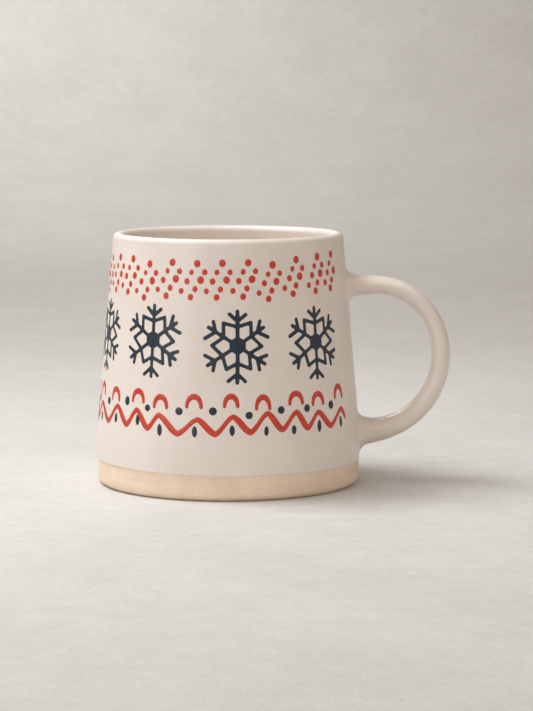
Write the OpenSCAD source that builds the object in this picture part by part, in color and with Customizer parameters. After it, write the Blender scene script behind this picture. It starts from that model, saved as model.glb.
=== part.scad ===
// Stoneware mug with a strap handle, a dipped glaze and hand-painted bands.
// Millimetres. The table is z = 0, the mug's axis is Z and the handle points along +X.

/* [Body] */
// Radius of the straight lower wall over the glaze
base_r = 50.04; // [45:0.5:56]
// Height of the rim above the table
height = 95; // [88:1:110]
// Height at which the wall starts to lean in
swell_z = 12; // [10:1:16]
// Radius of the curve between the straight foot and the leaning wall
swell_r = 139; // [100:1:180]
// Lean of the wall in degrees
wall_lean = 4.96; // [2:0.1:7]
// Half the thickness of the rim
rim_r = 2.05; // [1.8:0.05:2.4]

/* [Inside] */
// Lean of the inside wall in degrees
inner_lean = 4.7; // [3:0.1:6]
// Height of the floor inside
floor_z = 7.5; // [6.5:0.5:10]
// Radius of the corner between floor and wall
floor_corner_r = 12; // [8:1:16]

/* [Foot] */
// Radius of the outer edge of the foot
foot_edge_r = 3; // [2:0.5:4]
// Inner radius of the ring that touches the table
foot_ring_r = 37; // [30:1:40]
// Depth of the hollow inside the foot ring
foot_hollow = 2; // [2:0.5:3]
// Rounding in the corner of the hollow
hollow_corner_r = 1.2; // [0.3:0.1:1.2]
// Rounding of the ring's inner edge
ring_edge_r = 0.7; // [0.2:0.1:0.8]

/* [Glaze] */
// Thickness of the glaze coat
glaze = 0.3; // [0.2:0.05:0.5]
// Height of the line where the glaze stops above the bare foot
glaze_line_z = 9.1; // [6:0.1:11]
// Thickness of the painted enamel
enamel = 0.14; // [0.1:0.01:0.3]

/* [Handle] */
// Height of the handle's straight top
handle_top_z = 74.9; // [70:0.1:80]
// Reach of the straight top from the mug's axis
handle_straight_x = 55.6; // [52:0.1:60]
// Radius of the handle's upper bend, on the middle of the strap
upper_bend_r = 24.8; // [22:0.1:27]
// Degrees the upper bend turns before the lower bend takes over
upper_bend_turn = 64; // [50:1:90]
// Radius of the handle's lower bend, on the middle of the strap
lower_bend_r = 29.1; // [27:0.1:31]
// Thickness of the strap at the top
strap_top_t = 6.1; // [5:0.1:8]
// Thickness of the strap where it meets the foot of the wall
strap_end_t = 8; // [6:0.1:9]
// Width of the strap
strap_w = 12.6; // [10:0.1:16]
// Radius of the fillet where the strap meets the wall
root_fillet_r = 3.4; // [2:0.1:4]

/* [Dots] */
// Angle between two slanted strands of the same kind
dot_pitch = 12.44; // [11:0.01:15]
// Number of slanted strands of the first kind
dot_strands = 25; // [12:1:26]
// Angle each strand shifts from one row to the next
dot_slant = -2.3; // [-3:0.1:3]

/* [Snowflakes] */
// Height of the snowflakes' centres
flake_z = 57.3; // [55:0.1:60]
// Reach of an arm, with its round end
flake_reach = 13.4; // [11:0.1:14]
// Width of the painted lines
flake_stroke = 1.2; // [0.8:0.1:1.5]

/* [Wave and arches] */
// Height of the wave's middle line
wave_z = 28.5; // [26:0.1:30]
// Half the height of the wave's swing
wave_swing = 3.3; // [2:0.1:4]
// Width of the wave's line where the brush came down
wave_wide = 2.2; // [1.6:0.1:2.6]
// Width of the wave's line where the brush went up
wave_thin = 1.6; // [1:0.1:2]
// Width of an arch
arch_w = 6.2; // [5:0.1:7]
// Diameter of the round navy dots
navy_dot_d = 2.9; // [2:0.1:3.5]
// Width of the navy drops
drop_w = 1.9; // [1.2:0.1:2.4]
// Length of the navy drops
drop_h = 4; // [3:0.1:4.4]

/* [Hidden] */
$fn = 96;

clay_colour = [0.87, 0.77, 0.66];
glaze_colour = [0.86, 0.82, 0.76];
handle_glaze_colour = [0.81, 0.74, 0.67];
red = [0.78, 0.24, 0.20];
navy = [0.14, 0.20, 0.26];

// The lean of the wall fixes everything above the swell.
swell_x = base_r - swell_r;
rim_z = height - rim_r;
rim_x = wall_radius(rim_z + rim_r * sin(wall_lean)) - rim_r * cos(wall_lean);
inner_x = rim_x - rim_r * cos(inner_lean) + (rim_z - rim_r * sin(inner_lean)) * tan(inner_lean);
corner_z = floor_z + floor_corner_r;
corner_x = inner_x - corner_z * tan(inner_lean) - floor_corner_r / cos(inner_lean);

// The handle's path, in the plane y = 0.
upper_bend_z = handle_top_z - upper_bend_r;
lower_bend_x = handle_straight_x + (upper_bend_r - lower_bend_r) * sin(upper_bend_turn);
lower_bend_z = upper_bend_z + (upper_bend_r - lower_bend_r) * cos(upper_bend_turn);
lower_root_x = wall_radius(lower_bend_z - lower_bend_r) - glaze;
// The strap's ends run this far into the wall before the wall trims them.
root_depth = 2;
section_points = 20;
upper_bend_steps = 10;
lower_bend_steps = 17;
// Shares of the strap's length at which its bends start
upper_bend_share = 0.11;
lower_bend_share = 0.39;
// Powers below 1 make the strap's section squarer than an ellipse.
section_power = 0.86;
// Distances from the wall at which the fillet is drawn, as shares of its radius
fillet_steps = [0, 0.12, 0.3, 0.6, 1];
least_flare = 0.03;

// The painter spaced the marks by hand, starting beside the handle and going round to
// its other side. Angles round the mug are 0 at -Y and 90 at the handle.
first_dot_angle = 59.4;
dot_rows_z = [86.6, 83.4, 80.3, 76.9, 74.4];
// Diameters of the dots in each row: first strand, second strand (0 = none)
dot_sizes = [[2.6, 0], [1.9, 2.1], [2.2, 2.6], [2.1, 2.3], [0, 2.4]];
flake_gaps = [39.3, 40.4, 38, 37.5, 37.5, 37.5, 37.5];
flake_angles = walk_round(43.4, flake_gaps);
wave_gaps = [
    16.1, 11.9, 13.5, 14.9, 15.2, 17.9, 12.1, 13.5, 18.1,
    15, 13.5, 16, 14.5, 15.5, 14, 16.5, 15, 14, 16, 14.5
];
peak_angles = walk_round(58.3, wave_gaps);
wave_steps = 12;
// The wave runs on for this many steps past its first and last peaks.
wave_ends = 3;

// The prisms that cut the painted marks start well inside the wall.
mark_start_r = rim_x - 4;
mark_depth = base_r + 2 - mark_start_r;

// Radius of the outer surface, over the glaze, at height z.
function wall_radius(z) =
    let (lean_z = swell_z + swell_r * sin(wall_lean))
    z <= swell_z ? base_r
    : z <= lean_z ? swell_x + sqrt(swell_r * swell_r - (z - swell_z) * (z - swell_z))
    : swell_x + swell_r * cos(wall_lean) - (z - lean_z) * tan(wall_lean);

// The angles met when the gaps are stepped off one after another.
function walk_round(start, gaps, i = 0) =
    i == len(gaps) ? [start] : concat([start], walk_round(start - gaps[i], gaps, i + 1));

// A point on the outer surface at an angle and a height, raised by a small amount.
function on_wall(angle, z, raised = 0) =
    let (r = wall_radius(z) + raised)
    [r * sin(angle), -r * cos(angle), z];

// --- Turned shapes -----------------------------------------------------------

// Half outlines in the plane of X and Z, turned round the mug's axis. An inset draws
// a line into the clay: 0 is the glaze's surface, and the glaze's depth is the clay's.

function arc(x, z, r, from, to, steps) = [
    for (i = [0 : steps]) let (a = from + (to - from) * i / steps) [x + r * cos(a), z + r * sin(a)]
];
function reversed(line) = [for (i = [len(line) - 1 : -1 : 0]) line[i]];

// Under the mug, from the middle of the hollow to the top of the foot's outer edge.
function foot_line() = concat(
    [[0, foot_hollow]],
    arc(foot_ring_r - hollow_corner_r, foot_hollow - hollow_corner_r, hollow_corner_r, 90, 0, 4),
    arc(foot_ring_r + ring_edge_r, ring_edge_r, ring_edge_r, 180, 270, 4),
    arc(base_r - glaze - foot_edge_r, foot_edge_r, foot_edge_r, -90, 0, 8)
);

// Outside, from the swell of the wall to the top of the lip.
function outer_line(inset) = concat(
    arc(swell_x, swell_z, swell_r - inset, 0, wall_lean, 6),
    arc(rim_x, rim_z, rim_r - inset, wall_lean, 90, 9)
);

// Inside, from the top of the lip to the middle of the floor.
function inner_line(inset) = concat(
    arc(rim_x, rim_z, rim_r - inset, 90, 180 + inner_lean, 10),
    arc(corner_x, corner_z, floor_corner_r + inset, inner_lean, -90, 14),
    [[0, floor_z - inset]]
);

// Everything inside the outer surface, as a tool to trim what meets the wall.
module outside_solid(inset) {
    rotate_extrude($fn = 360) polygon(concat(
        [[0, 0], [base_r - inset, 0]], outer_line(inset), [[0, height - inset]]
    ));
}

// A coat of enamel's thickness all over the wall between two heights.
module enamel_shell(low_z, high_z) {
    rotate_extrude() intersection() {
        polygon(concat(outer_line(-enamel), reversed(outer_line(0))));
        translate([0, low_z]) square([base_r + 5, high_z - low_z]);
    }
}

module stoneware_body() {
    color(clay_colour) rotate_extrude()
        polygon(concat(foot_line(), outer_line(glaze), inner_line(glaze)));
}

// The outside coat runs from its line above the bare foot to the top of the lip.
module outer_glaze() {
    color(glaze_colour) difference() {
        rotate_extrude() polygon(concat(
            [[base_r, glaze_line_z]], outer_line(0),
            reversed(outer_line(glaze)), [[base_r - glaze, glaze_line_z]]
        ));
        upper_root(0);
        lower_root(0);
    }
}

module inner_glaze() {
    color(glaze_colour) rotate_extrude()
        polygon(concat(inner_line(0), reversed(inner_line(glaze))));
}

// --- Handle ------------------------------------------------------------------

// Thickness of the strap at a share of the way from its top root to its lower root.
function strap_t(share) = strap_top_t + (strap_end_t - strap_top_t) * pow(share, 3);

// How far the fillet stands off the strap at a distance from the wall, given as a
// share of the fillet's radius. It never thins out to nothing.
function flare(share) =
    max(least_flare, root_fillet_r * (1 - sqrt(1 - pow(1 - share, 2))));

// Where the clay wall is, beside the handle.
function wall_x(y, z) = let (r = wall_radius(z) - glaze) sqrt(r * r - y * y);

// One ring round the strap. It is centred on [x, z], its outer side faces the
// direction `out` in degrees, and `grow` stands it off the strap on every side.
// A ring with a distance from the wall follows the wall's curve.
function strap_ring(x, z, out, share, grow, from_wall) = [
    for (i = [0 : section_points - 1])
    let (a = 360 * i / section_points, c = cos(a), s = sin(a))
    let (u = (strap_t(share) / 2 + grow) * sign(c) * pow(abs(c), section_power))
    let (v = (strap_w / 2 + grow) * sign(s) * pow(abs(s), section_power))
    let (up = z + u * sin(out))
    [is_undef(from_wall) ? x + u * cos(out) : wall_x(v, up) + from_wall, v, up]
];

// Each station is [x, z, direction of the outer side, share, flare, distance from the
// wall], and the bare strap's stations have no distance.
function upper_root_stations() = concat(
    [[0, handle_top_z, 90, 0, flare(0), -root_depth]],
    [for (k = fillet_steps) [0, handle_top_z, 90, 0, flare(k), k * root_fillet_r]]
);
function lower_root_stations() = concat(
    [for (i = [len(fillet_steps) - 1 : -1 : 0]) let (k = fillet_steps[i])
        lower_bend_station(lower_turn(k), 1, flare(k), k * root_fillet_r)],
    [[0, lower_bend_z - lower_bend_r, -90, 1, flare(0), -root_depth]]
);
// The lower bend reaches the wall level, so the lower fillet's stations lie on the bend.
function lower_turn(k) =
    -90 + max(0, asin((lower_root_x + k * root_fillet_r - lower_bend_x) / lower_bend_r));

// Stations of the bare strap between its two fillets.
function upper_bend_station(turn, share) = [
    handle_straight_x + upper_bend_r * cos(turn), upper_bend_z + upper_bend_r * sin(turn),
    turn, share, 0, undef
];
function lower_bend_station(turn, share, flared, from_wall) = [
    lower_bend_x + lower_bend_r * cos(turn), lower_bend_z + lower_bend_r * sin(turn),
    turn, share, flared, from_wall
];
function middle_stations() = concat(
    [for (i = [0 : upper_bend_steps]) let (k = i / upper_bend_steps)
        upper_bend_station(90 - upper_bend_turn * k,
            upper_bend_share + (lower_bend_share - upper_bend_share) * k)],
    [for (i = [1 : lower_bend_steps - 1]) let (k = i / lower_bend_steps)
        lower_bend_station((90 - upper_bend_turn) * (1 - k) + lower_turn(1) * k,
            lower_bend_share + (0.97 - lower_bend_share) * k, 0, undef)]
);

// A closed skin through a list of rings that all have the same number of points.
module skin(rings) {
    count = len(rings[0]);
    last = len(rings) - 1;
    polyhedron(
        points = [for (ring = rings) each ring],
        faces = concat(
            [[for (i = [count - 1 : -1 : 0]) i]],
            [for (k = [0 : last - 1], i = [0 : count - 1]) let (j = (i + 1) % count)
                each [
                    [k * count + i, (k + 1) * count + j, (k + 1) * count + i],
                    [k * count + i, k * count + j, (k + 1) * count + j]
                ]],
            [[for (i = [0 : count - 1]) last * count + i]]
        ),
        convexity = 6
    );
}

function rings(stations, grow, flared) = [
    for (s = stations) strap_ring(s[0], s[1], s[2], s[3], grow + (flared ? s[4] : 0), s[5])
];

// The strap as one solid, standing off its real surface by `grow`.
module strap(grow, flared) {
    skin(rings(
        concat(upper_root_stations(), middle_stations(), lower_root_stations()),
        grow, flared
    ));
}

module upper_root(grow) {
    skin(rings(upper_root_stations(), grow, true));
}

module lower_root(grow) {
    skin(rings(lower_root_stations(), grow, true));
}

module handle_core() {
    color(clay_colour) difference() {
        strap(0, false);
        outside_solid(glaze);
    }
}

// The slip that lutes each end of the strap to the wall, smoothed into a fillet.
module upper_handle_joint() {
    color(clay_colour) difference() {
        upper_root(0);
        strap(0, false);
        outside_solid(glaze);
    }
}

module lower_handle_joint() {
    color(clay_colour) difference() {
        lower_root(0);
        strap(0, false);
        outside_solid(glaze);
    }
}

module handle_glaze() {
    color(handle_glaze_colour) difference() {
        strap(glaze, true);
        strap(0, true);
        outside_solid(0);
    }
}

// --- Painted marks -----------------------------------------------------------

// Stands a flat drawing up at an angle and a height, as a prism through the wall.
// The drawing's own X runs to the right and its Y runs up.
module stand_on_wall(angle, z) {
    rotate([0, 0, angle]) translate([0, -mark_start_r, z]) rotate([90, 0, 0])
        linear_extrude(height = mark_depth, convexity = 8) children();
}

// The children's prisms, trimmed to a coat of enamel on the wall.
module painted(low_z, high_z) {
    intersection() {
        enamel_shell(low_z, high_z);
        union() children();
    }
}

// One row of dots: each strand's dot, and the dot of its partner half a pitch before it.
module dot_row(row) {
    z = dot_rows_z[row];
    sizes = dot_sizes[row];
    color(red) painted(z - 3, z + 3)
        for (i = [0 : dot_strands - 1], strand = [0, 1])
            if (sizes[strand] > 0)
                stand_on_wall(first_dot_angle - i * dot_pitch + row * dot_slant
                    + strand * dot_pitch / 2, z) circle(d = sizes[strand], $fn = 24);
}

// A straight painted line with round ends.
module brush_line(from, to, width) {
    reach = norm(to - from);
    translate(from) rotate(atan2(to[1] - from[1], to[0] - from[0])) {
        translate([0, -width / 2]) square([reach, width]);
        circle(d = width, $fn = 24);
        translate([reach, 0]) circle(d = width, $fn = 24);
    }
}

module snowflake_drawing() {
    tip = flake_reach - flake_stroke / 2;
    twig_root = flake_reach * 0.67;
    twig = flake_reach * 0.23;
    star_tip = flake_reach * 0.71;
    star_notch = flake_reach * 0.45;
    for (arm = [0 : 60 : 300]) rotate(arm) {
        brush_line([0, 0], [0, tip], flake_stroke);
        for (side = [-1, 1]) {
            brush_line([0, twig_root], [side * twig * sin(48), twig_root + twig * cos(48)],
                flake_stroke);
            brush_line([0, star_notch], star_tip * [side * sin(30), cos(30)],
                flake_stroke);
        }
    }
    rotate(30) circle(r = flake_reach * 0.25, $fn = 6);
}

module snowflake(number) {
    color(navy) painted(flake_z - 15, flake_z + 15)
        stand_on_wall(flake_angles[number - 1], flake_z) snowflake_drawing();
}

// The wave is one ribbon laid on the wall, wide where the brush came down to the
// right and thin where it went up. Steps count leftwards from the first peak.
function wave_angle(step) =
    let (last = len(wave_gaps) - 1, i = min(max(floor(step / wave_steps), 0), last))
    peak_angles[i] - wave_gaps[i] * (step / wave_steps - i);
function wave_height(step) = wave_z + wave_swing * cos(360 * step / wave_steps);
function wave_half_width(step) =
    (wave_wide + wave_thin - (wave_wide - wave_thin) * sin(360 * step / wave_steps)) / 4;

function ribbon_ring(step) =
    let (angle = wave_angle(step), z = wave_height(step), r = wall_radius(z))
    let (ahead = step + 0.1, run = (wave_angle(ahead) - angle) * r * PI / 180)
    let (rise = wave_height(ahead) - z)
    let (long = norm([run, rise]), w = wave_half_width(step))
    let (turn = w * rise / long / r * 180 / PI, lift = w * run / long)
    [
        on_wall(angle - turn, z + lift, 0), on_wall(angle + turn, z - lift, 0),
        on_wall(angle + turn, z - lift, enamel), on_wall(angle - turn, z + lift, enamel)
    ];

module red_wave() {
    last_step = len(wave_gaps) * wave_steps + wave_ends;
    color(red) skin([for (step = [-wave_ends : last_step]) ribbon_ring(step)]);
}

module arch_drawing() {
    outer_r = arch_w / 2;
    inner_r = outer_r * 0.45;
    leg = outer_r * 0.6;
    leg_w = outer_r * 0.44;
    difference() {
        circle(outer_r);
        translate([0, -0.4]) circle(inner_r);
        translate([-arch_w, -arch_w]) square([2 * arch_w, arch_w]);
    }
    for (side = [-1, 1]) translate([side * (outer_r - leg_w / 2), 0])
        brush_line([0, 0], [0, -leg], leg_w);
}

// One arch over each of the wave's peaks.
module red_arches() {
    color(red) painted(wave_z, wave_z + 15)
        for (angle = peak_angles) stand_on_wall(angle, wave_z + 7.7) arch_drawing();
}

// One round dot over each of the wave's troughs.
module navy_dots() {
    color(navy) painted(wave_z - 2, wave_z + 9)
        for (i = [0 : len(wave_gaps) - 1])
            stand_on_wall(peak_angles[i] - wave_gaps[i] / 2, wave_z + 4.8)
                circle(d = navy_dot_d, $fn = 32);
}

// One drop under each of the wave's peaks.
module navy_drops() {
    color(navy) painted(wave_z - 8, wave_z + 3)
        for (angle = peak_angles) stand_on_wall(angle, wave_z - 2.1 - drop_h / 2 + drop_w / 2)
            brush_line([0, 0], [0, drop_h - drop_w], drop_w);
}

stoneware_body();
upper_handle_joint();
lower_handle_joint();
handle_core();
outer_glaze();
inner_glaze();
handle_glaze();
dot_row(0);  // dot_row_1
dot_row(1);  // dot_row_2
dot_row(2);  // dot_row_3
dot_row(3);  // dot_row_4
dot_row(4);  // dot_row_5
snowflake(1);  // snowflake_1
snowflake(2);  // snowflake_2
snowflake(3);  // snowflake_3
snowflake(4);  // snowflake_4
snowflake(5);  // snowflake_5
snowflake(6);  // snowflake_6
snowflake(7);  // snowflake_7
snowflake(8);  // snowflake_8
red_wave();
red_arches();
navy_dots();
navy_drops();
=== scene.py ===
import math
import random

import bpy
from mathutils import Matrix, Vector, noise


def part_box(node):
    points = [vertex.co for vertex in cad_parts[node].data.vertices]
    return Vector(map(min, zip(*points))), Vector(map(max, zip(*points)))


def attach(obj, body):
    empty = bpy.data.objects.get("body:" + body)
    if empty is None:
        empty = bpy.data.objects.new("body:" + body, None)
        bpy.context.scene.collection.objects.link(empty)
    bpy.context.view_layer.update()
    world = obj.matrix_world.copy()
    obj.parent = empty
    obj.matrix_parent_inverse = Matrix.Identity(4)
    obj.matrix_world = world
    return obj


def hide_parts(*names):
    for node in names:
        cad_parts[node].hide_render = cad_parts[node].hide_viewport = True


# A stoneware mug: thrown body, strap handle, dipped glaze and hand-painted bands.
# Metres. The foot stands on z = 0, the mug's axis is Z and the handle points along +X.
# Angles round the mug are in degrees: 0 faces the front (-Y) and 90 faces the handle.

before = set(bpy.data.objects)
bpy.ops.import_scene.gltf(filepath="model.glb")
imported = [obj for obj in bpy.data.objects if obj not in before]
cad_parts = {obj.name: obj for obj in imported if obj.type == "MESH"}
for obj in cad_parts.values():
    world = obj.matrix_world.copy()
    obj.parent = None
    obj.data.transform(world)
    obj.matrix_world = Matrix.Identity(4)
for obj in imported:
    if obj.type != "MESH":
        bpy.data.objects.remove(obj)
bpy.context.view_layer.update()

MM = 0.001

# --- Sizes of the mug ---------------------------------------------------------

glaze_low, glaze_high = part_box("outer_glaze")
clay_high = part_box("stoneware_body")[1]
BASE_R = glaze_high.x
HEIGHT = glaze_high.z
GLAZE = BASE_R - clay_high.x
GLAZE_LINE = glaze_low.z

SWELL_Z = 12 * MM
SWELL_R = 139 * MM
WALL_LEAN = math.radians(4.96)
RIM_R = 2.05 * MM
INNER_LEAN = math.radians(4.7)
FLOOR_Z = 7.5 * MM
FLOOR_CORNER_R = 12 * MM
FOOT_EDGE_R = 3 * MM
FOOT_RING_R = 37 * MM
FOOT_HOLLOW = 2 * MM

LEAN_Z = SWELL_Z + SWELL_R * math.sin(WALL_LEAN)
SWELL_X = BASE_R - SWELL_R


def wall_radius(z):
    """Radius of the glazed outside at a height."""
    if z <= SWELL_Z:
        return BASE_R
    if z <= LEAN_Z:
        return SWELL_X + math.sqrt(SWELL_R**2 - (z - SWELL_Z) ** 2)
    return SWELL_X + SWELL_R * math.cos(WALL_LEAN) - (z - LEAN_Z) * math.tan(WALL_LEAN)


RIM_Z = HEIGHT - RIM_R
RIM_X = wall_radius(RIM_Z + RIM_R * math.sin(WALL_LEAN)) - RIM_R * math.cos(WALL_LEAN)
INNER_X = (
    RIM_X - RIM_R * math.cos(INNER_LEAN)
    + (RIM_Z - RIM_R * math.sin(INNER_LEAN)) * math.tan(INNER_LEAN)
)
CORNER_Z = FLOOR_Z + FLOOR_CORNER_R
CORNER_X = INNER_X - CORNER_Z * math.tan(INNER_LEAN) - FLOOR_CORNER_R / math.cos(INNER_LEAN)


# --- Small helpers for the bench ---------------------------------------------


def deselect():
    if bpy.context.object and bpy.context.object.mode != "OBJECT":
        bpy.ops.object.mode_set(mode="OBJECT")
    bpy.ops.object.select_all(action="DESELECT")


def pick(*things):
    """Selects these objects only, with the last one active."""
    deselect()
    for thing in things:
        thing.select_set(True)
    bpy.context.view_layer.objects.active = things[-1]


def edit(thing, mode="VERT"):
    pick(thing)
    bpy.ops.object.mode_set(mode="EDIT")
    bpy.ops.mesh.select_mode(type=mode)


def leave_edit():
    bpy.ops.object.mode_set(mode="OBJECT")


def settle_place(thing):
    """Puts the object's place, turn and size into its mesh."""
    pick(thing)
    bpy.ops.object.transform_apply(location=True, rotation=True, scale=True)


def apply_all(thing):
    pick(thing)
    for modifier in list(thing.modifiers):
        bpy.ops.object.modifier_apply(modifier=modifier.name)


def smooth(thing, degrees=40):
    pick(thing)
    bpy.ops.object.shade_smooth_by_angle(angle=math.radians(degrees))


def finish_piece(piece, name, material, cad_slot, *nodes):
    """Names the piece, gives it its finish and hangs it on the mug."""
    piece.name = name
    piece.data.name = name
    piece.data.materials.clear()
    piece.data.materials.append(material)
    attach(piece, "root")
    if nodes:
        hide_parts(*nodes)
    return piece


def ease(x):
    """0 below 0, 1 above 1, and a smooth step between."""
    x = min(max(x, 0), 1)
    return x * x * (3 - 2 * x)


def arc(x, z, r, start, end, steps):
    angles = [math.radians(start + (end - start) * i / steps) for i in range(steps + 1)]
    return [(x + r * math.cos(a), z + r * math.sin(a)) for a in angles]


# --- The hand in the wall -----------------------------------------------------

WOBBLE = 0.09 * MM
WOBBLE_RISE = 19 * MM
DIP_RISE, DIP_TILT, DIP_TURN = 0.3, 0.38, 62
HALF_WALL = 2.1 * MM


def wall_wobble(angle, z):
    """How far the hand left the wall short of true at a place. It is never proud of true."""
    a = math.radians(angle)
    place = Vector((math.sin(a) * 2.2, math.cos(a) * 2.2, z / WOBBLE_RISE))
    fade = ease((HEIGHT - 4 * MM - z) / (12 * MM))
    return -WOBBLE * (0.5 + 0.5 * noise.noise(place)) * fade


def glaze_line_rise(angle):
    """How far the line of the glaze wanders up and down: the mug was dipped a little
    askew, and the edge crept here and there."""
    a = math.radians(angle)
    tilt = DIP_RISE + DIP_TILT * math.cos(a + math.radians(DIP_TURN))
    slow = noise.noise(Vector((math.sin(a) * 1.5, math.cos(a) * 1.5, 4.0)))
    quick = noise.noise(Vector((math.sin(a) * 9, math.cos(a) * 9, 9.0)))
    return (tilt + 0.2 * slow + 0.12 * quick) * MM


def on_wall(angle, z, out=0.0):
    """A point on the glazed wall, raised by a small amount."""
    r = wall_radius(z) + wall_wobble(angle, z) + out
    a = math.radians(angle)
    return Vector((r * math.sin(a), -r * math.cos(a), z))


def age_wall(piece):
    """Gives the outer side of a turned piece the wobble of the hand, above the bare foot."""
    for v in piece.data.vertices:
        r = math.hypot(v.co.x, v.co.y)
        if r < 1e-6:
            continue
        middle = wall_radius(v.co.z) - HALF_WALL
        angle = math.degrees(math.atan2(v.co.x, -v.co.y))
        if r > middle and v.co.z > GLAZE_LINE - 1 * MM:
            k = 1 + wall_wobble(angle, v.co.z) / r
            v.co.x *= k
            v.co.y *= k


# --- Thrown pieces -------------------------------------------------------------

SIDES = 240
STATION_STEP = 1.6 * MM
FOOT_STEP = 0.8 * MM


def throw(name, line, closed):
    """Raises a shape on the wheel: a ring, then ring after ring pulled up or in along the
    line of (radius, height) stations. A closed line joins its ends, and an open one ends
    on the axis at both ends."""
    deselect()
    r, z = line[0]
    fill = "NOTHING" if closed else "TRIFAN"
    bpy.ops.mesh.primitive_circle_add(vertices=SIDES, radius=r, fill_type=fill, location=(0, 0, z))
    pot = bpy.context.object
    pot.name = name
    edit(pot, "EDGE")
    bpy.ops.mesh.select_all(action="DESELECT")
    bpy.ops.mesh.select_non_manifold(extend=False)
    for (r0, z0), (r1, z1) in zip(line, line[1:]):
        bpy.ops.mesh.extrude_region_move(TRANSFORM_OT_translate={"value": (0, 0, z1 - z0)})
        bpy.ops.transform.resize(value=(r1 / r0, r1 / r0, 1), center_override=(0, 0, z1))
    if closed:
        bpy.ops.mesh.select_all(action="DESELECT")
        bpy.ops.mesh.select_non_manifold(extend=False)
        bpy.ops.mesh.bridge_edge_loops()
    else:
        bpy.ops.mesh.merge(type="CENTER")
    bpy.ops.mesh.select_all(action="SELECT")
    bpy.ops.mesh.normals_make_consistent(inside=False)
    leave_edit()
    settle_place(pot)
    return pot


def wall_stations(inset, low, high, step):
    """Stations up the outside between two heights."""
    count = max(1, round((high - low) / step))
    heights = [low + (high - low) * i / count for i in range(count + 1)]
    return [(wall_radius(z) - inset, z) for z in heights]


def outer_line(inset, low):
    top = RIM_Z + RIM_R * math.sin(WALL_LEAN)
    return wall_stations(inset, low, top - 0.4 * MM, STATION_STEP) + arc(
        RIM_X, RIM_Z, RIM_R - inset, math.degrees(WALL_LEAN), 90, 12
    )


# The two coats meet end to end a little way down the inside of the lip.
MEET = 4


def over_lip(inset):
    """From the top of the lip to where the outside coat ends inside."""
    lip = arc(RIM_X, RIM_Z, RIM_R - inset, 90, 180 + math.degrees(INNER_LEAN), 13)
    return lip[1:] + inner_wall(inset)[1 : MEET + 1]


def inner_wall(inset):
    """Stations down the straight inside wall, from the lip to the corner of the floor."""
    c, s = math.cos(INNER_LEAN), math.sin(INNER_LEAN)
    high = Vector((RIM_X - (RIM_R - inset) * c, RIM_Z - (RIM_R - inset) * s))
    corner_r = FLOOR_CORNER_R + inset
    low = Vector((CORNER_X + corner_r * c, CORNER_Z + corner_r * s))
    shares = [0, 0.012, 0.026, 0.042, 0.06] + [0.06 + 0.94 * i / 20 for i in range(1, 21)]
    return [tuple(high.lerp(low, k)) for k in shares]


def inner_floor(inset):
    corner = arc(
        CORNER_X, CORNER_Z, FLOOR_CORNER_R + inset, math.degrees(INNER_LEAN), -90, 18
    )
    flat = [(CORNER_X * (1 - i / 9), FLOOR_Z - inset) for i in range(1, 9)]
    return corner[1:] + flat


def make_clay_body(clay):
    """The thrown wall and foot, seen only in the bare band round the foot and underneath."""
    edge = 0.7 * MM
    corner = 1.2 * MM
    clay_r = BASE_R - GLAZE
    hollow = [(FOOT_RING_R * i / 8 - corner * i / 8, FOOT_HOLLOW) for i in range(1, 8)]
    ring = arc(FOOT_RING_R - corner, FOOT_HOLLOW - corner, corner, 90, 0, 5)
    ring += arc(FOOT_RING_R + edge, edge, edge, 180, 270, 5)
    sole_w = clay_r - FOOT_EDGE_R - FOOT_RING_R - edge
    sole = [(FOOT_RING_R + edge + sole_w * i / 5, 0) for i in range(1, 5)]
    band = arc(clay_r - FOOT_EDGE_R, FOOT_EDGE_R, FOOT_EDGE_R, -90, 0, 9)
    rise = wall_stations(GLAZE, FOOT_EDGE_R + FOOT_STEP, SWELL_Z, FOOT_STEP)
    up = outer_line(GLAZE, SWELL_Z + STATION_STEP)
    lip = arc(RIM_X, RIM_Z, RIM_R - GLAZE, 90, 180 + math.degrees(INNER_LEAN), 13)
    line = hollow + ring + sole + band + rise + up + lip[1:]
    line += inner_wall(GLAZE)[1:] + inner_floor(GLAZE)
    body = throw("thrown_clay_body", line, closed=False)
    age_wall(body)
    wear_foot(body)
    smooth(body)
    return finish_piece(body, "thrown_clay_body", clay, "clay", "stoneware_body")


CHIPS = 26
CHIP_DEPTH = 0.2 * MM
GROOVE_DEPTH = 0.035 * MM
GROOVE_TURN = 2.6


def wear_foot(body):
    """Turning marks and small chips in the bare band, cut into the clay."""
    chips = random.Random(7)
    places = [
        (chips.uniform(0, 360), chips.uniform(0.8, 3.2) * MM, chips.uniform(0.5, 1.3))
        for _ in range(CHIPS)
    ]
    for v in body.data.vertices:
        r = math.hypot(v.co.x, v.co.y)
        if r < BASE_R - 5 * MM or v.co.z > GLAZE_LINE:
            continue
        angle = math.degrees(math.atan2(v.co.x, -v.co.y))
        weave = 0.4 * math.sin(math.radians(angle * 3))
        depth = GROOVE_DEPTH * (1 + math.sin(v.co.z / MM * GROOVE_TURN + weave))
        for place, height, size in places:
            gap = (angle - place + 180) % 360 - 180
            away = math.hypot(math.radians(gap) * BASE_R, v.co.z - height) / (size * MM)
            if away < 1:
                depth += CHIP_DEPTH * (1 - away * away)
        v.co.x *= 1 - depth / r
        v.co.y *= 1 - depth / r


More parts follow.
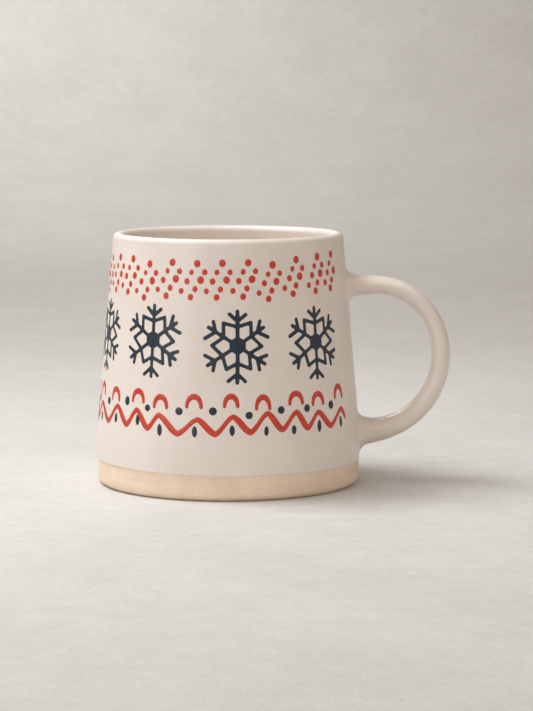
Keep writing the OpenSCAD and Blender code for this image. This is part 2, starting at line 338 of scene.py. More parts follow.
def make_outside_glaze(glaze):
    """The outside coat: a rolled edge over the bare foot, up the wall and over the lip."""
    clay_r = BASE_R - GLAZE
    # The rolled edge, from against the clay round to the full thickness
    roll = [
        (clay_r + 0.01 * MM, GLAZE_LINE + 0.10 * MM),
        (clay_r + 0.11 * MM, GLAZE_LINE + 0.01 * MM),
        (clay_r + 0.22 * MM, GLAZE_LINE + 0.06 * MM),
        (clay_r + 0.295 * MM, GLAZE_LINE + 0.22 * MM),
        (BASE_R, GLAZE_LINE + 0.5 * MM),
    ]
    start = GLAZE_LINE + 1.2 * MM
    outside = roll + outer_line(0, start) + over_lip(0)
    inside = outer_line(GLAZE, start) + over_lip(GLAZE)
    coat = throw("outside_glaze", outside + inside[::-1], closed=True)
    wander_glaze_line(coat)
    age_wall(coat)
    smooth(coat, 60)
    return finish_piece(coat, "outside_glaze", glaze, "glaze", "outer_glaze")


WANDER_REACH = 5 * MM


def wander_glaze_line(coat):
    """Lifts the rolled edge here and there, and less and less going up the wall."""
    for v in coat.data.vertices:
        if v.co.z > GLAZE_LINE + WANDER_REACH:
            continue
        angle = math.degrees(math.atan2(v.co.x, -v.co.y))
        share = ease((GLAZE_LINE + WANDER_REACH - v.co.z) / WANDER_REACH)
        v.co.z += glaze_line_rise(angle) * share


def make_inside_glaze(glaze):
    """The inside coat, from below the lip to the middle of the floor."""
    outside = inner_wall(0)[MEET:] + inner_floor(0)
    inside = inner_wall(GLAZE)[MEET:] + inner_floor(GLAZE)
    hole = 0.4 * MM
    line = outside + [(hole, FLOOR_Z), (hole, FLOOR_Z - GLAZE)] + inside[::-1]
    coat = throw("inside_glaze", line, closed=True)
    close_floor(coat, hole)
    smooth(coat, 60)
    return finish_piece(coat, "inside_glaze", glaze, "glaze", "inner_glaze")


def close_floor(coat, hole):
    """Closes the pinhole that the wheel leaves in the middle of the inside coat."""
    edit(coat, "VERT")
    for height in (FLOOR_Z, FLOOR_Z - GLAZE):
        bpy.ops.mesh.select_all(action="DESELECT")
        leave_edit()
        for v in coat.data.vertices:
            near = math.hypot(v.co.x, v.co.y) < hole * 1.01 and abs(v.co.z - height) < 0.01 * MM
            v.select = near
        bpy.ops.object.mode_set(mode="EDIT")
        bpy.ops.mesh.merge(type="CENTER")
    bpy.ops.mesh.select_all(action="SELECT")
    bpy.ops.mesh.delete_loose()
    bpy.ops.mesh.dissolve_degenerate(threshold=0.001 * MM)
    leave_edit()


# --- The strap handle ------------------------------------------------------------

STRAP_TOP_Z = 74.9 * MM
STRAIGHT_X = 55.6 * MM
UPPER_BEND_R = 24.8 * MM
UPPER_TURN = math.radians(64)
LOWER_BEND_R = 29.1 * MM
STRAP_TOP_T = 6.1 * MM
STRAP_END_T = 8 * MM
STRAP_W = 12.6 * MM
SECTION_POWER = 0.86
FILLET_REACH = 4.5 * MM
UPPER_FILLET_R = 2.4
LOWER_FILLET_R = 2.5
FILLET_SKEW = 0.3
ROOT_SWELLING = 1.7 * MM
SWELLING_REACH = 4.2 * MM
HAND_WAVER = 0.07 * MM

# The two bends share a tangent where the lower one takes over from the upper one.
UPPER_BEND = Vector((STRAIGHT_X, 0, STRAP_TOP_Z - UPPER_BEND_R))
TAKE_OVER = Vector((math.sin(UPPER_TURN), 0, math.cos(UPPER_TURN)))
LOWER_BEND = UPPER_BEND + (UPPER_BEND_R - LOWER_BEND_R) * TAKE_OVER
LOWER_ROOT_Z = LOWER_BEND.z - LOWER_BEND_R

STRAP_START_X = wall_radius(STRAP_TOP_Z)
STRAIGHT_LENGTH = STRAIGHT_X - STRAP_START_X
UPPER_LENGTH = UPPER_BEND_R * UPPER_TURN
LOWER_LENGTH = LOWER_BEND_R * (math.pi - UPPER_TURN)
CURVED_LENGTH = STRAIGHT_LENGTH + UPPER_LENGTH + LOWER_LENGTH
STRAP_LENGTH = CURVED_LENGTH + LOWER_BEND.x - wall_radius(LOWER_ROOT_Z)


def strap_middle(s):
    """The middle of the strap and the direction of its outer side, a length s from the
    upper root."""
    if s <= STRAIGHT_LENGTH:
        return Vector((STRAP_START_X + s, 0, STRAP_TOP_Z)), math.pi / 2
    s -= STRAIGHT_LENGTH
    if s <= UPPER_LENGTH:
        turn = math.pi / 2 - s / UPPER_BEND_R
        centre, radius = UPPER_BEND, UPPER_BEND_R
    else:
        s -= UPPER_LENGTH
        turn = math.pi / 2 - UPPER_TURN - min(s, LOWER_LENGTH) / LOWER_BEND_R
        centre, radius = LOWER_BEND, LOWER_BEND_R
    past = max(0.0, s - LOWER_LENGTH)
    middle = centre + radius * Vector((math.cos(turn), 0, math.sin(turn)))
    return middle - Vector((past, 0, 0)), turn


def fillet(away, radius):
    """How far a fillet and the soft swelling behind it stand off the strap at a distance
    from the wall."""
    away = max(away, 0.0)
    swelling = ROOT_SWELLING * math.exp(-away / SWELLING_REACH)
    if away >= radius:
        return swelling
    return swelling + radius - math.sqrt(radius**2 - (radius - away) ** 2)


def wall_x(y, z):
    """How far out the wall is at a place beside the mug's middle plane."""
    angle = math.degrees(math.asin(y / wall_radius(z)))
    r = wall_radius(z) + wall_wobble(90 - angle, z)
    return math.sqrt(r * r - y * y)


def on_strap(s, c, t):
    """A point on the strap's glaze at a length s. c and t are the cosine and sine of the
    place round its section, with c = 1 on the outer side."""
    share = s / STRAP_LENGTH
    upper = share < 0.5
    away = min(s, STRAP_LENGTH - s)
    thickness = STRAP_TOP_T + (STRAP_END_T - STRAP_TOP_T) * share**3
    radius = UPPER_FILLET_R - FILLET_SKEW * c if upper else LOWER_FILLET_R + FILLET_SKEW * c
    stand = GLAZE + fillet(away, radius * MM)
    middle, turn = strap_middle(s)
    hand = HAND_WAVER * noise.noise(Vector((s / (11 * MM), c * 1.3, t * 1.3)))
    u = (thickness / 2 + stand + hand) * math.copysign(abs(c) ** SECTION_POWER, c)
    v = (STRAP_W / 2 + stand + hand) * math.copysign(abs(t) ** SECTION_POWER, t)
    point = middle + Vector((u * math.cos(turn), v, u * math.sin(turn)))
    beside = wall_x(point.y, point.z) + away - 0.02 * MM
    point.x += (beside - point.x) * (1 - ease(away / FILLET_REACH))
    return point


def make_handle_glaze(glaze):
    """The strap's coat: a straight tube pulled out length by length, then laid along the
    handle's curve and drawn out into a fillet at each root."""
    deselect()
    near = [0, 0.1, 0.25, 0.45, 0.7, 1.0, 1.35, 1.75, 2.2, 2.7, 3.2, 3.8, 4.5]
    near = [n * MM for n in near]
    steps = 84
    span = STRAP_LENGTH - 2 * near[-1]
    places = near + [near[-1] + span * i / steps for i in range(1, steps)]
    places += [STRAP_LENGTH - n for n in reversed(near)]
    bpy.ops.mesh.primitive_circle_add(vertices=48, radius=1, rotation=(0, math.pi / 2, 0))
    strap = bpy.context.object
    settle_place(strap)
    edit(strap, "EDGE")
    bpy.ops.mesh.select_all(action="SELECT")
    for s0, s1 in zip(places, places[1:]):
        bpy.ops.mesh.extrude_region_move(TRANSFORM_OT_translate={"value": (s1 - s0, 0, 0)})
    leave_edit()
    for v in strap.data.vertices:
        round_it = math.hypot(v.co.y, v.co.z)
        v.co = on_strap(v.co.x, v.co.z / round_it, v.co.y / round_it)
    edit(strap)
    bpy.ops.mesh.select_all(action="SELECT")
    bpy.ops.mesh.normals_make_consistent(inside=False)
    leave_edit()
    coat = strap.modifiers.new("coat", "SOLIDIFY")
    coat.thickness = GLAZE
    coat.offset = -1
    apply_all(strap)
    smooth(strap, 60)
    return finish_piece(strap, "handle_glaze_coat", glaze, "glaze", "handle_glaze")


# --- Painted marks -----------------------------------------------------------------

# Marks are painted flat, in millimetres, with X to the right, Z up and the paint's
# thickness along Y, and are then laid on the wall.
ENAMEL = 0.14
BLOB_CUT = 0.12


def lay_on_wall(mark, angle, z):
    """Wraps a flat mark round the wall, centred at an angle and a height."""
    for v in mark.data.vertices:
        up = z + v.co.z * MM
        round_it = math.degrees(v.co.x * MM / wall_radius(up))
        v.co = on_wall(angle + round_it, up, -v.co.y * MM)
    mark.data.update()
    return mark


def paint_stroke(points, widths):
    """A brush stroke through points (x, z), with a width at each and round ends. It is a
    round line, which flatten() presses down to the paint's thickness."""
    curve = bpy.data.curves.new("stroke", "CURVE")
    curve.dimensions = "3D"
    curve.bevel_depth = 1
    curve.bevel_resolution = 2
    curve.use_fill_caps = True
    rounded = round_ends(points, widths)
    spline = curve.splines.new("POLY")
    spline.points.add(len(rounded) - 1)
    for knot, (x, z, width) in zip(spline.points, rounded):
        knot.co = (x, 0, z, 1)
        knot.radius = width / 2
    stroke = bpy.data.objects.new("stroke", curve)
    bpy.context.collection.objects.link(stroke)
    pick(stroke)
    bpy.ops.object.convert(target="MESH")
    return bpy.context.object


def round_ends(points, widths):
    """Adds the points of a half-round cap at each end of a stroke."""
    line = [(x, z, w) for (x, z), w in zip(points, widths)]
    for _ in range(2):
        line = line[::-1]
        x, z, w = line[-1]
        px, pz = line[-2][:2]
        length = math.hypot(x - px, z - pz)
        dx, dz = (x - px) / length, (z - pz) / length
        for k in (0.38, 0.71, 0.92, 0.995):
            reach = k * w / 2
            line.append((x + dx * reach, z + dz * reach, w * math.sqrt(1 - k * k)))
    return line


def join(things):
    pick(*things)
    if len(things) > 1:
        bpy.ops.object.join()
    return bpy.context.object


def flatten(mark, width):
    """Presses a round line of this width down to the thickness of the enamel."""
    for v in mark.data.vertices:
        v.co.y *= 2 * ENAMEL / width
    return mark


def painted_blob(width, height, sides=18, tilt=0.0):
    """One touch of the brush: a low dome of paint, sunk a little way into the glaze."""
    deselect()
    bpy.ops.mesh.primitive_uv_sphere_add(
        segments=sides, ring_count=8, radius=0.5, rotation=(math.pi / 2, 0, 0)
    )
    blob = bpy.context.object
    settle_place(blob)
    edit(blob)
    bpy.ops.mesh.select_all(action="SELECT")
    bpy.ops.mesh.bisect(
        plane_co=(0, BLOB_CUT, 0), plane_no=(0, 1, 0), clear_outer=True, use_fill=True
    )
    leave_edit()
    for v in blob.data.vertices:
        rim = math.sqrt(max(0.0, 1 - (2 * v.co.y) ** 2))
        dome = -ENAMEL * (1 - rim**3) ** 0.5
        v.co.y = dome if v.co.y < 0 else 0.5 * ENAMEL * v.co.y / BLOB_CUT
        x, z = v.co.x * width, v.co.z * height
        v.co.x = x * math.cos(tilt) - z * math.sin(tilt)
        v.co.z = x * math.sin(tilt) + z * math.cos(tilt)
    return blob


# The red dots under the lip. Each motif is a slanted strand of four dots and, half a
# pitch further on, a partner strand of four that starts a row lower.
DOT_FIRST = 59.4
DOT_PITCH = 12.44
DOT_MOTIFS = 25
TOP_DOT_Z = 86.5
# For each row: the shift round in degrees from the motif's top dot, then in millimetres
# the drop below it and the width and height of the dot
STRAND = [
    (0, 0, 2.45, 2.8), (-2.5, 3.25, 1.8, 2.1), (-4.6, 6.55, 2.1, 2.4),
    (-7.3, 10.05, 1.95, 2.15), None,
]
PARTNER = [
    None, (3.6, 3.1, 2.05, 2.25), (1.8, 6.0, 2.5, 2.8),
    (-0.9, 9.3, 2.1, 2.4), (-2.7, 12.2, 2.25, 2.5),
]
# The first motifs were touched with a fuller brush.
FULL_BRUSH = 1.07
FULL_MOTIFS = 3
# How far the painter let a motif drift, degrees round and millimetres up, counted from
# the handle
MOTIF_DRIFT = [
    (0, 1.7), (0.8, 1.3), (-0.3, 0.7), (-0.7, -0.8), (-0.2, 0.2), (0.1, 0), (0.4, -0.1),
    (0.5, 0.1), (-0.2, -1.0), (0.2, 0.4), (0.1, 0.4), (0, -0.4),
]


def make_dot_row(row, red):
    """One row of touches. The partner strand's first dot is left out next to the handle."""
    hand = random.Random(100 + row)
    rest = random.Random(99)
    behind = DOT_MOTIFS - len(MOTIF_DRIFT)
    drift = MOTIF_DRIFT + [
        (rest.uniform(-0.5, 0.5), rest.uniform(-0.7, 0.9)) for _ in range(behind)
    ]
    dots = []
    for i, (round_it, up) in enumerate(drift):
        for touch in (STRAND[row], PARTNER[row]):
            if touch is None or (i == 0 and row == 1 and touch is PARTNER[row]):
                continue
            shift, drop, width, height = touch
            load = hand.uniform(0.95, 1.05) * (FULL_BRUSH if i < FULL_MOTIFS else 1)
            dot = painted_blob(width * load, height * load, 14, hand.uniform(-0.3, 0.15))
            angle = DOT_FIRST - i * DOT_PITCH + round_it + shift
            lean = 1 - 0.12 * math.sin(math.radians(angle))
            angle += shift * (lean - 1) + hand.uniform(-0.12, 0.12)
            lay_on_wall(dot, angle, (TOP_DOT_Z + up - drop + hand.uniform(-0.08, 0.08)) * MM)
            dots.append(dot)
    piece = join(dots)
    smooth(piece, 50)
    node = f"dot_row_{row + 1}"
    return finish_piece(piece, f"red_dots_row_{row + 1}", red, "red_enamel", node)


# The navy snowflakes: the first one's angle, the gaps to the next ones and the heights
FLAKE_FIRST = 43.45
FLAKE_GAPS = [39.35, 40.35, 38, 37.5, 37.5, 37.5, 37.5]
FLAKE_Z = [56.9, 56.8, 58.15, 58.05, 57.2, 57.5, 56.9, 57.4]
LINE_W = 1.5
MELT_GRAIN = 0.24
# The six arms as the painter draws them: direction clockwise from the top, reach, where
# the twigs leave, where the star's notch lies, and each twig's turn and length
ARMS = [
    (0, 13.2, 8.8, 6.8, (48, 3.9), (50, 3.8)),
    (56, 12.3, 8.7, 6.1, (41, 4.1), (60, 4.4)),
    (124, 12.7, 8.7, 5.1, (52, 3.7), (46, 4.0)),
    (181, 14.0, 10.1, 6.3, (47, 4.1), (50, 4.2)),
    (237, 13.8, 9.8, 6.6, (44, 3.7), (59, 4.1)),
    (302, 13.2, 9.4, 5.9, (62, 4.5), (46, 3.8)),
]
# The star's six points, one after each arm: direction and reach
STAR = [(30, 9.6), (92, 8.9), (150, 9.6), (206, 9.4), (271, 9.4), (328, 9.8)]
HEART_R = 3.4


def walk_round(start, gaps):
    """The angles met when the gaps are stepped off one after another."""
    angles = [start]
    for gap in gaps:
        angles.append(angles[-1] - gap)
    return angles


def clock(direction, reach):
    """The point at a direction clockwise from the top and a reach."""
    a = math.radians(direction)
    return Vector((reach * math.sin(a), reach * math.cos(a)))


def make_snowflake(number, angle, navy):
    """Six arms with twigs, a star between them and a solid heart, run together as wet
    paint does."""
    hand = random.Random(300 + number)

    def near(point, slip=0.08):
        return point + Vector((hand.uniform(-slip, slip), hand.uniform(-slip, slip)))

    def line(*points, load=1.0):
        width = LINE_W * load * hand.uniform(0.96, 1.05)
        return paint_stroke([tuple(p) for p in points], [width] * len(points))

    points = [near(clock(*point)) for point in STAR]
    strokes = [painted_heart()]
    for i, (way, reach, fork, notch, left, right) in enumerate(ARMS):
        tip = near(clock(way, reach - LINE_W / 2))
        strokes.append(line(clock(0, 0), near(clock(way, reach / 2), 0.05), tip))
        for side, (turn, length) in ((-1, left), (1, right)):
            root = clock(way, fork)
            strokes.append(line(root, near(root + clock(way + side * turn, length)), load=0.97))
        valley = near(clock(way, notch), 0.05)
        for point in (points[i], points[i - 1]):
            strokes.append(line(valley, point, load=0.95))
    flake = join(strokes)
    melt = flake.modifiers.new("run_together", "REMESH")
    melt.mode = "VOXEL"
    melt.voxel_size = MELT_GRAIN
    settle = flake.modifiers.new("settle", "SMOOTH")
    settle.factor = 0.5
    settle.iterations = 2
    apply_all(flake)
    flatten(flake, LINE_W)
    lay_on_wall(flake, angle, FLAKE_Z[number - 1] * MM)
    smooth(flake, 60)
    return finish_piece(
        flake, f"navy_snowflake_{number}", navy, "navy_enamel", f"snowflake_{number}"
    )


def painted_heart():
    """The solid six-sided middle of a snowflake, as thick as a stroke."""
    deselect()
    bpy.ops.mesh.primitive_cylinder_add(
        vertices=6, radius=HEART_R, depth=LINE_W, rotation=(math.pi / 2, 0, 0)
    )
    heart = bpy.context.object
    settle_place(heart)
    return heart


# The red wave round the foot and what stands over and under it. Lists run leftwards
# from the handle, with angles in degrees and lengths in millimetres. The first ten
# peaks are set one by one, and carry_on() draws those behind.
WAVE_GAPS = [
    16.1, 11.9, 13.5, 14.9, 15.2, 17.9, 12.1, 13.5, 18.1,
    15, 13.5, 16, 14.5, 15.5, 14, 16.5, 15, 14, 16, 14.5,
]
PEAKS = walk_round(58.3, WAVE_GAPS)
PEAK_Z = [31.1, 31.25, 32.1, 32.2, 31.25, 30.1, 31.0, 32.1, 32.4, 32.0]
TROUGH_Z = [25.5, 25.8, 25.95, 25.4, 24.8, 24.6, 25.8, 26.1, 25.9]
# Each arch: slip from its peak, height of its top, height and span of its line
ARCHES = [
    (-1.1, 39.5, 3.9, 5.0), (0.4, 37.9, 3.65, 5.2), (0.3, 38.8, 3.6, 5.4),
    (-1.8, 38.1, 4.2, 5.0), (-0.8, 38.6, 3.6, 4.75), (-1.7, 38.35, 3.8, 5.4),
    (0.4, 37.65, 3.75, 5.35),
    (0.1, 39.0, 3.8, 5.5), (-2.7, 38.4, 3.8, 5.25), (-0.4, 39.0, 3.6, 5.2),
]
# Each round dot: slip from the middle of its trough, height, width and length
ROUND_DOTS = [
    (0.65, 33.2, 2.9, 3.2), (-0.1, 33.1, 2.7, 2.9), (-0.4, 33.15, 2.75, 2.8),
    (-0.55, 31.65, 2.75, 2.75), (-1.0, 33.2, 2.95, 2.95), (0.55, 32.85, 2.95, 2.85),
    (-0.25, 33.2, 2.5, 2.5), (-0.1, 34.85, 2.6, 3.5), (-0.3, 33.45, 2.75, 2.9),
]
# Each drop: slip from its peak, height of its middle, width and length
DROPS = [
    (-0.65, 26.35, 1.85, 4.2), (0.45, 26.1, 2.0, 4.5), (-1.3, 25.65, 2.05, 3.3),
    (-0.6, 25.8, 1.7, 3.6), (-0.4, 26.2, 1.95, 3.85), (-1.2, 25.65, 1.95, 4.05), (0.5, 25.6, 2.05, 4.4),
    (0.5, 28.5, 2.05, 4.1), (-1.4, 27.8, 2.0, 3.7), (0.4, 26.9, 1.9, 3.6),
]


def carry_on(values, count, spread, seed):
    """The set values, then more like them for the part of the band that goes round behind."""
    hand = random.Random(seed)
    sample = [hand.choice(values) for _ in range(count - len(values))]
    return values + [value + hand.uniform(-spread, spread) for value in sample]


def carry_on_sets(rows, count, spread, seed):
    """The same for rows of several numbers each."""
    columns = [carry_on(list(column), count, spread, seed) for column in zip(*rows)]
    return list(zip(*columns))


WAVE_STEPS = 24
RUN_ON = 8
RUN_ON_GAP = 12
# The wave's middle height, and the widths that the wave and arches are pressed from
WAVE_Z = 28
WAVE_W = 2.0
ARCH_W = 2.0
ARCH_STEPS = 14


def make_red_wave(red):
    """One long stroke, thick where the brush came down to the right and thin where it
    went up, running out to a point at both ends."""
    peaks_z = carry_on(PEAK_Z, len(PEAKS), 0.3, 11)
    troughs_z = carry_on(TROUGH_Z, len(WAVE_GAPS), 0.3, 12)
    r = wall_radius(WAVE_Z * MM) / MM
    points, widths = [], []
    for step in range(-RUN_ON, len(WAVE_GAPS) * WAVE_STEPS + RUN_ON + 1):
        i = min(max(step // WAVE_STEPS, 0), len(WAVE_GAPS) - 1)
        part = step / WAVE_STEPS - i
        angle = PEAKS[i] - WAVE_GAPS[i] * part
        peak = peaks_z[i] if part < 0.5 else peaks_z[i + 1]
        trough = troughs_z[i]
        if part < 0:
            angle = PEAKS[0] - RUN_ON_GAP * part
        if part > 1:
            angle = PEAKS[-1] - RUN_ON_GAP * (part - 1)
        near_peak = abs(part - round(part))
        fall = 0.55 * (0.5 - 0.5 * math.cos(2 * math.pi * near_peak)) + 0.45 * 2 * near_peak
        points.append((math.radians(angle) * r, peak + (trough - peak) * fall - WAVE_Z))
        rush = math.sin(2 * math.pi * part)
        low = 0.5 - 0.5 * math.cos(2 * math.pi * part)
        widths.append(1.9 - 0.36 * rush + 0.25 * low)
    for k in range(RUN_ON):
        taper = 0.25 + 0.75 * math.sqrt(k / RUN_ON)
        widths[k] *= taper
        widths[-1 - k] *= taper
    wave = paint_stroke(points, widths)
    flatten(wave, WAVE_W)
    lay_on_wall(wave, 0, WAVE_Z * MM)
    smooth(wave, 60)
    return finish_piece(wave, "red_wave_line", red, "red_enamel", "red_wave")


def make_red_arches(red):
    hand = random.Random(23)
    arches = []
    rows = carry_on_sets(ARCHES, len(PEAKS), 0.15, 21)
    for peak, (slip, top, height, span) in zip(PEAKS, rows):
        thin = 1.3 * hand.uniform(0.92, 1.08)
        points, widths = [], []
        for i in range(ARCH_STEPS + 1):
            a = math.pi * (1 - i / ARCH_STEPS)
            points.append((span / 2 * math.cos(a), height * (math.sin(a) - 1)))
            widths.append(thin + (2.15 - thin) * math.sin(a) ** 1.6 + 0.1 * i / ARCH_STEPS)
        arch = flatten(paint_stroke(points, widths), ARCH_W)
        lay_on_wall(arch, peak + slip, top * MM)
        arches.append(arch)
    piece = join(arches)
    smooth(piece, 60)
    return finish_piece(piece, "red_arch_marks", red, "red_enamel", "red_arches")


def make_navy_dots(navy):
    hand = random.Random(32)
    dots = []
    rows = carry_on_sets(ROUND_DOTS, len(WAVE_GAPS), 0.12, 31)
    for peak, gap, (slip, z, width, height) in zip(PEAKS, WAVE_GAPS, rows):
        dot = painted_blob(width, height, 24, hand.uniform(-0.2, 0.1))
        lay_on_wall(dot, peak - gap / 2 + slip, z * MM)
        dots.append(dot)
    piece = join(dots)
    smooth(piece, 50)
    return finish_piece(piece, "navy_round_dots", navy, "navy_enamel", "navy_dots")


def make_navy_drops(navy):
    hand = random.Random(42)
    drops = []
    rows = carry_on_sets(DROPS, len(PEAKS), 0.12, 41)
    for peak, (slip, z, width, height) in zip(PEAKS, rows):
        drop = painted_blob(width, height, 20, hand.uniform(-0.06, 0.06))
        lay_on_wall(drop, peak + slip, z * MM)
        drops.append(drop)
    piece = join(drops)
    smooth(piece, 50)
    return finish_piece(piece, "navy_drop_marks", navy, "navy_enamel", "navy_drops")


# --- Finishes -----------------------------------------------------------------------


class Finish:
    """A material and the nodes that build it."""

    def __init__(self, name):
        self.material = bpy.data.materials.new(name)
        self.material.use_nodes = True
        self.tree = self.material.node_tree
        self.shader = self.tree.nodes["Principled BSDF"]
        place = self.tree.nodes.new("ShaderNodeTexCoord")
        self.place = place.outputs["Object"]

    def link(self, source, socket):
        self.tree.links.new(source, socket)

    def noise(self, size, detail=3.0, rough=0.55, stretch=(1, 1, 1)):
        """Noise whose features are about this many metres across."""
        mapping = self.tree.nodes.new("ShaderNodeMapping")
        mapping.inputs["Scale"].default_value = stretch
        self.link(self.place, mapping.inputs["Vector"])
        cloud = self.tree.nodes.new("ShaderNodeTexNoise")
        cloud.inputs["Scale"].default_value = 1 / size
        cloud.inputs["Detail"].default_value = detail
        cloud.inputs["Roughness"].default_value = rough
        self.link(mapping.outputs["Vector"], cloud.inputs["Vector"])
        return cloud.outputs["Fac"]

    def specks(self, spacing, size):
        """1 on small round specks that are on average this far apart, 0 elsewhere."""
        cells = self.tree.nodes.new("ShaderNodeTexVoronoi")
        cells.inputs["Scale"].default_value = 1 / spacing
        self.link(self.place, cells.inputs["Vector"])
        return self.span(cells.outputs["Distance"], size / spacing, size / spacing * 0.6, 0, 1)

    def span(self, value, low, high, out_low, out_high):
        """Maps a value's range to another, clamped."""
        remap = self.tree.nodes.new("ShaderNodeMapRange")
        for socket, number in zip(
            ("From Min", "From Max", "To Min", "To Max"), (low, high, out_low, out_high)
        ):
            remap.inputs[socket].default_value = number
        self.link(value, remap.inputs["Value"])
        return remap.outputs["Result"]

    def both(self, a, b, how="MULTIPLY"):
        maths = self.tree.nodes.new("ShaderNodeMath")
        maths.operation = how
        for socket, value in zip(maths.inputs, (a, b)):
            if isinstance(value, (int, float)):
                socket.default_value = value
            else:
                self.link(value, socket)
        return maths.outputs["Value"]

    def mix(self, share, first, second):
        """A colour between two, each a colour or a socket."""
        blend = self.tree.nodes.new("ShaderNodeMix")
        blend.data_type = "RGBA"
        self.link(share, blend.inputs["Factor"])
        for socket, value in ((blend.inputs[6], first), (blend.inputs[7], second)):
            if isinstance(value, tuple):
                socket.default_value = (*value, 1)
            else:
                self.link(value, socket)
        return blend.outputs[2]

    def bumps(self, height, depth, strength=1.0, under=None):
        bump = self.tree.nodes.new("ShaderNodeBump")
        bump.inputs["Distance"].default_value = depth
        bump.inputs["Strength"].default_value = strength
        self.link(height, bump.inputs["Height"])
        if under is not None:
            self.link(under, bump.inputs["Normal"])
        return bump.outputs["Normal"]

    def surface(self, **sockets):
        for name, value in sockets.items():
            socket = self.shader.inputs[name.replace("_", " ").title()]
            if isinstance(value, tuple):
                socket.default_value = (*value, 1)
            elif isinstance(value, (int, float)):
                socket.default_value = value
            else:
                self.link(value, socket)
        return self.material


def glaze_finish():
    """A warm white satin glaze with a faint mottle, a few pinholes and a clear skin."""
    f = Finish("satin_white_glaze")
    cloud = f.span(f.noise(22 * MM, 3), 0.35, 0.65, 0, 1)
    colour = f.mix(cloud, (0.78, 0.70, 0.64), (0.82, 0.745, 0.69))
    iron = f.specks(9 * MM, 0.22 * MM)
    iron = f.both(iron, f.span(f.noise(14 * MM, 1), 0.5, 0.58, 0, 0.7))
    colour = f.mix(iron, colour, (0.42, 0.30, 0.20))
    skin = f.bumps(f.noise(2.6 * MM, 2, 0.5), 0.02 * MM, 0.4)
    skin = f.bumps(f.noise(0.5 * MM, 2), 0.004 * MM, 0.6, skin)
    pits = f.specks(7 * MM, 0.3 * MM)
    skin = f.bumps(f.both(1, pits, "SUBTRACT"), 0.05 * MM, 1, skin)
    return f.surface(
        base_color=colour, roughness=f.span(f.noise(6 * MM, 3), 0.3, 0.7, 0.36, 0.44),
        coat_weight=0.18, coat_roughness=0.2, normal=skin,
    )


def clay_finish():
    """Bare fired stoneware: sandy, dry and finely grained with dark specks."""
    f = Finish("bare_stoneware_clay")
    grain = f.noise(0.45 * MM, 4, 0.7)
    broad = f.noise(9 * MM, 3, 0.6, (1, 1, 2.2))
    colour = f.mix(f.span(broad, 0.35, 0.65, 0, 1), (0.80, 0.62, 0.46), (0.86, 0.69, 0.54))
    colour = f.mix(f.span(grain, 0.42, 0.7, 0, 0.55), colour, (0.93, 0.80, 0.66))
    dark = f.both(f.specks(2.4 * MM, 0.2 * MM), f.span(f.noise(5 * MM, 1), 0.45, 0.6, 0, 0.8))
    colour = f.mix(dark, colour, (0.22, 0.14, 0.09))
    skin = f.bumps(grain, 0.06 * MM, 0.8)
    return f.surface(
        base_color=colour, roughness=f.span(grain, 0.3, 0.7, 0.78, 0.92), normal=skin
    )


def enamel_finish(name, deep, thin, rough):
    """Brushed enamel: a deep colour that thins out here and there under the brush."""
    f = Finish(name)
    streaks = f.noise(1.3 * MM, 3, 0.6, (1, 1, 0.6))
    patches = f.noise(7 * MM, 2)
    share = f.both(f.span(streaks, 0.45, 0.75, 0, 0.6), f.span(patches, 0.4, 0.7, 0.3, 1))
    colour = f.mix(share, deep, thin)
    skin = f.bumps(streaks, 0.02 * MM, 0.6)
    return f.surface(
        base_color=colour, roughness=f.span(patches, 0.3, 0.7, rough, rough + 0.12), normal=skin
    )


# --- The room ---------------------------------------------------------------------------


def backdrop_finish():
    """Pale washed plaster with a painted pool of light: lighter near the mug and darker farther away.
    """
    f = Finish("pale_plaster_with_painted_light_pool")
    # Painted pool of light: the plaster's colour is lighter near the mug and darker with distance from
    # it.
    length = f.tree.nodes.new("ShaderNodeVectorMath")
    length.operation = "LENGTH"
    f.link(f.place, length.inputs[0])
    away = f.span(length.outputs["Value"], 0.06, 0.5, 0, 1)
    colour = f.mix(away, (0.68, 0.675, 0.655), (0.56, 0.545, 0.515))
    wash = f.both(f.noise(60 * MM, 4, 0.65), f.noise(9 * MM, 5, 0.7), "ADD")
    colour = f.mix(f.span(wash, 0.8, 1.2, 0.2, 0), colour, (0.36, 0.34, 0.30))
    skin = f.bumps(f.noise(4 * MM, 6, 0.75), 0.9 * MM, 0.6)
    return f.surface(base_color=colour, roughness=0.9, normal=skin)


# The floor's half width, its front edge, where it starts to turn up, how widely it
# turns, and how far the wall then goes up
FLOOR_HALF_W = 3.0
FLOOR_FRONT = -3.0
TURN_Y = 1.25
TURN_R = 0.8
TURN_STEPS = 24
WALL_RISE = 2.0


def make_backdrop():
    """A floor that sweeps up into a wall well behind the mug."""
    deselect()
    bpy.ops.mesh.primitive_plane_add(size=1, location=(0, 0, 0))
    sweep = bpy.context.object
    edit(sweep, "EDGE")
    bpy.ops.mesh.select_all(action="SELECT")
    size = (2 * FLOOR_HALF_W, TURN_Y - FLOOR_FRONT, 1)
    bpy.ops.transform.resize(value=size, center_override=(0, 0, 0))
    bpy.ops.transform.translate(value=(0, (TURN_Y + FLOOR_FRONT) / 2, 0))
    bpy.ops.mesh.select_all(action="DESELECT")
    leave_edit()
    for e in sweep.data.edges:
        e.select = all(sweep.data.vertices[i].co.y > TURN_Y - 0.01 for i in e.vertices)
    for v in sweep.data.vertices:
        v.select = v.co.y > TURN_Y - 0.01
    bpy.ops.object.mode_set(mode="EDIT")
    for i in range(TURN_STEPS):
        a0, a1 = math.pi / 2 * i / TURN_STEPS, math.pi / 2 * (i + 1) / TURN_STEPS
        dy = TURN_R * (math.sin(a1) - math.sin(a0))
        dz = TURN_R * (math.cos(a0) - math.cos(a1))
        bpy.ops.mesh.extrude_region_move(TRANSFORM_OT_translate={"value": (0, dy, dz)})
    bpy.ops.mesh.extrude_region_move(TRANSFORM_OT_translate={"value": (0, 0, WALL_RISE)})
    leave_edit()
    settle_place(sweep)
    smooth(sweep, 60)
    sweep.name = "pale_backdrop"
    sweep.data.materials.append(backdrop_finish())


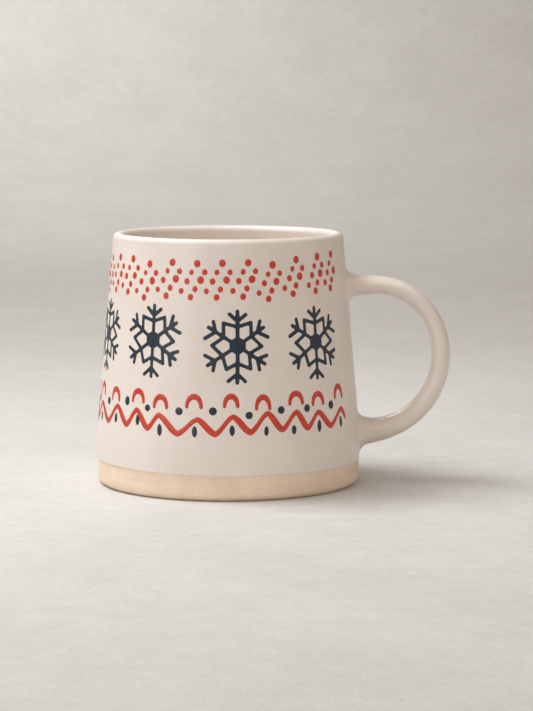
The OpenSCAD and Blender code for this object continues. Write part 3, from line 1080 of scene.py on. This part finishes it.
def add_light(name, place, aim, size, power, colour):
    """A rectangular light at a place, turned to its aim."""
    lamp = bpy.data.lights.new(name, "AREA")
    lamp.shape = "RECTANGLE"
    lamp.size, lamp.size_y = size
    lamp.energy = power
    lamp.color = colour
    light = bpy.data.objects.new(name, lamp)
    bpy.context.collection.objects.link(light)
    light.location = place
    light.rotation_euler = (Vector(aim) - Vector(place)).to_track_quat("-Z", "Y").to_euler()


def light_room():
    """Soft lights over the mug and from the left, broad weak ones in front and at the
    right, one on the wall behind, and a warm room."""
    world = bpy.data.worlds.new("soft_room")
    world.use_nodes = True
    sky = world.node_tree.nodes["Background"]
    sky.inputs["Color"].default_value = (1.0, 0.87, 0.745, 1)
    sky.inputs["Strength"].default_value = 0.35
    scene = bpy.context.scene
    scene.world = world
    scene.view_settings.view_transform = "Standard"
    cool, warm = (0.98, 0.99, 1.0), (1.0, 0.94, 0.88)
    add_light("high_window", (-0.5, 0.1, 0.9), (0, 0, 0), (0.5, 0.5), 7.0, cool)
    add_light("top_light", (-0.25, 0, 0.85), (0, 0, 0), (0.5, 0.5), 1.9, cool)
    add_light("side_window", (-0.7, -0.7, 0.35), (0, 0, 0.04), (0.5, 0.4), 2.1, cool)
    add_light("front_fill", (0.1, -1.7, 1.3), (0, 0, 0.05), (1.4, 1.0), 4.7, warm)
    add_light("wall_wash", (-0.4, 1.65, 0.9), (0, 1.8, 0.1), (1.0, 0.4), 8.0, cool)
    add_light("right_fill", (1.1, -0.3, 0.5), (0, 0, 0.05), (0.6, 0.6), 1.2, warm)


SENSOR_W = 36
LENS = 126.3
CAMERA_PLACE = (0, -0.943, 0.1557)
LOOK_DOWN = 6.516
LOOK_RIGHT = 0.88
NEAREST, FARTHEST = 0.05, 20


def set_camera():
    lens = bpy.data.cameras.new("camera")
    camera = bpy.data.objects.new("camera", lens)
    bpy.context.collection.objects.link(camera)
    lens.sensor_width = SENSOR_W
    lens.lens = LENS
    lens.clip_start, lens.clip_end = NEAREST, FARTHEST
    camera.location = CAMERA_PLACE
    pitch = math.pi / 2 - math.radians(LOOK_DOWN)
    camera.rotation_euler = (pitch, 0, math.radians(-LOOK_RIGHT))
    bpy.context.scene.camera = camera


# --- Putting the mug together --------------------------------------------------------------


def main():
    glaze = glaze_finish()
    clay = clay_finish()
    red = enamel_finish("red_enamel_paint", (0.56, 0.045, 0.022), (0.66, 0.11, 0.065), 0.34)
    navy = enamel_finish("navy_enamel_paint", (0.012, 0.026, 0.045), (0.035, 0.06, 0.09), 0.34)

    make_clay_body(clay)
    make_outside_glaze(glaze)
    make_inside_glaze(glaze)
    make_handle_glaze(glaze)
    for row in range(5):
        make_dot_row(row, red)
    for i, angle in enumerate(walk_round(FLAKE_FIRST, FLAKE_GAPS)):
        make_snowflake(i + 1, angle, navy)
    make_red_wave(red)
    make_red_arches(red)
    make_navy_dots(navy)
    make_navy_drops(navy)
    for name in ("handle_core", "upper_handle_joint", "lower_handle_joint"):
        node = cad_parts[name]
        node.data.materials.clear()
        node.data.materials.append(clay)

    make_backdrop()
    light_room()
    set_camera()


main()
